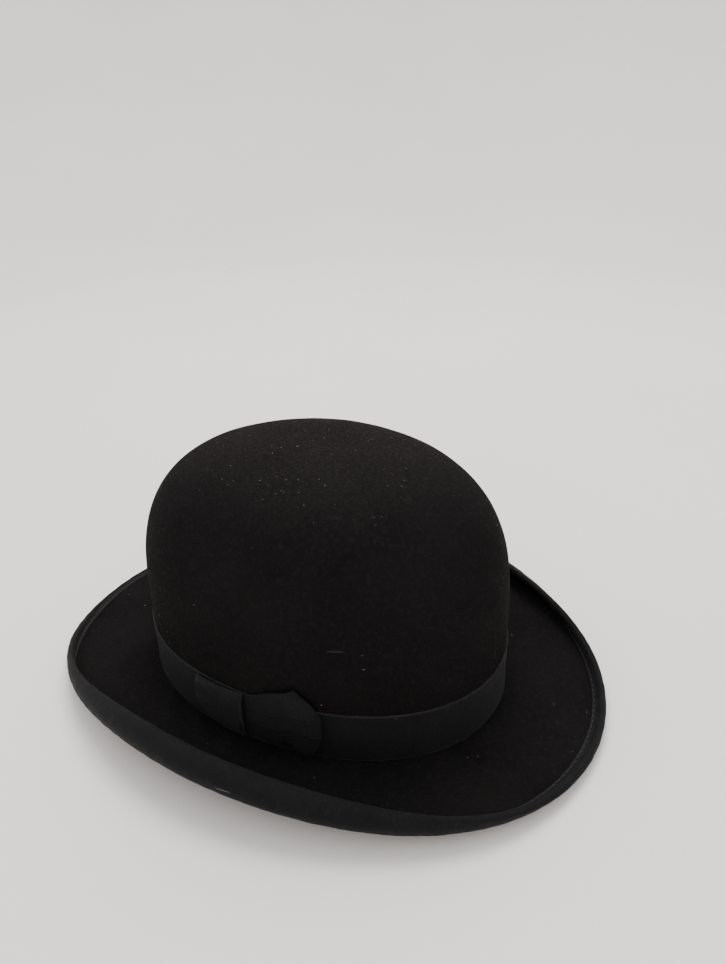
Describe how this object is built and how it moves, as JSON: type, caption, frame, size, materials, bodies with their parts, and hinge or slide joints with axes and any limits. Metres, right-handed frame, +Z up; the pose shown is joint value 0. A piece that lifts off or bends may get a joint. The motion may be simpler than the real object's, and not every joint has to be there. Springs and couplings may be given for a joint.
{
  "type": "bowler hat",
  "caption": "Hard felt bowler hat with a tall domed crown, curled brim bound in ribbon, ribbed hat band and flat side bow, leather sweatband and satin lining.",
  "frame": {"origin": "middle of the head oval, on the plane that the hat rests on", "axes": "+Z up through the crown, -Y towards the front of the hat, +X towards the wearer's left, where the bow is"},
  "size_m": [0.25, 0.3167, 0.1325],
  "materials": {
    "felt": "stiffened fur felt, short nap, soft sheen at grazing angles",
    "grosgrain": "ribbed silk grosgrain ribbon, low sheen",
    "thread": "black sewing thread",
    "leather": "brown roan leather, fine grain, lightly worn",
    "reed": "smooth satin reed cord",
    "tape": "narrow black tape",
    "light_thread": "tan sewing thread",
    "lining": "pale satin lining, soft sheen",
    "lining_thread": "pale sewing thread",
    "paper": "plain uncoated paper ticket"
  },
  "bodies": {
    "root": {"felt_body": "felt", "brim_binding": "grosgrain", "binding_stitches": "thread", "hat_band": "grosgrain", "band_tacks": "thread", "bow_knot": "grosgrain", "bow_tail": "grosgrain", "bow_loop": "grosgrain", "bow_tacks": "thread", "sweatband": "leather", "sweatband_reed": "reed", "reed_tape": "tape", "sweatband_stitches": "light_thread", "back_seam_stitches": "light_thread", "sweatband_bow": "tape", "lining_side": "lining", "lining_tip": "lining", "lining_seam": "lining_thread", "size_ticket": "paper"}
  },
  "joints": []
}
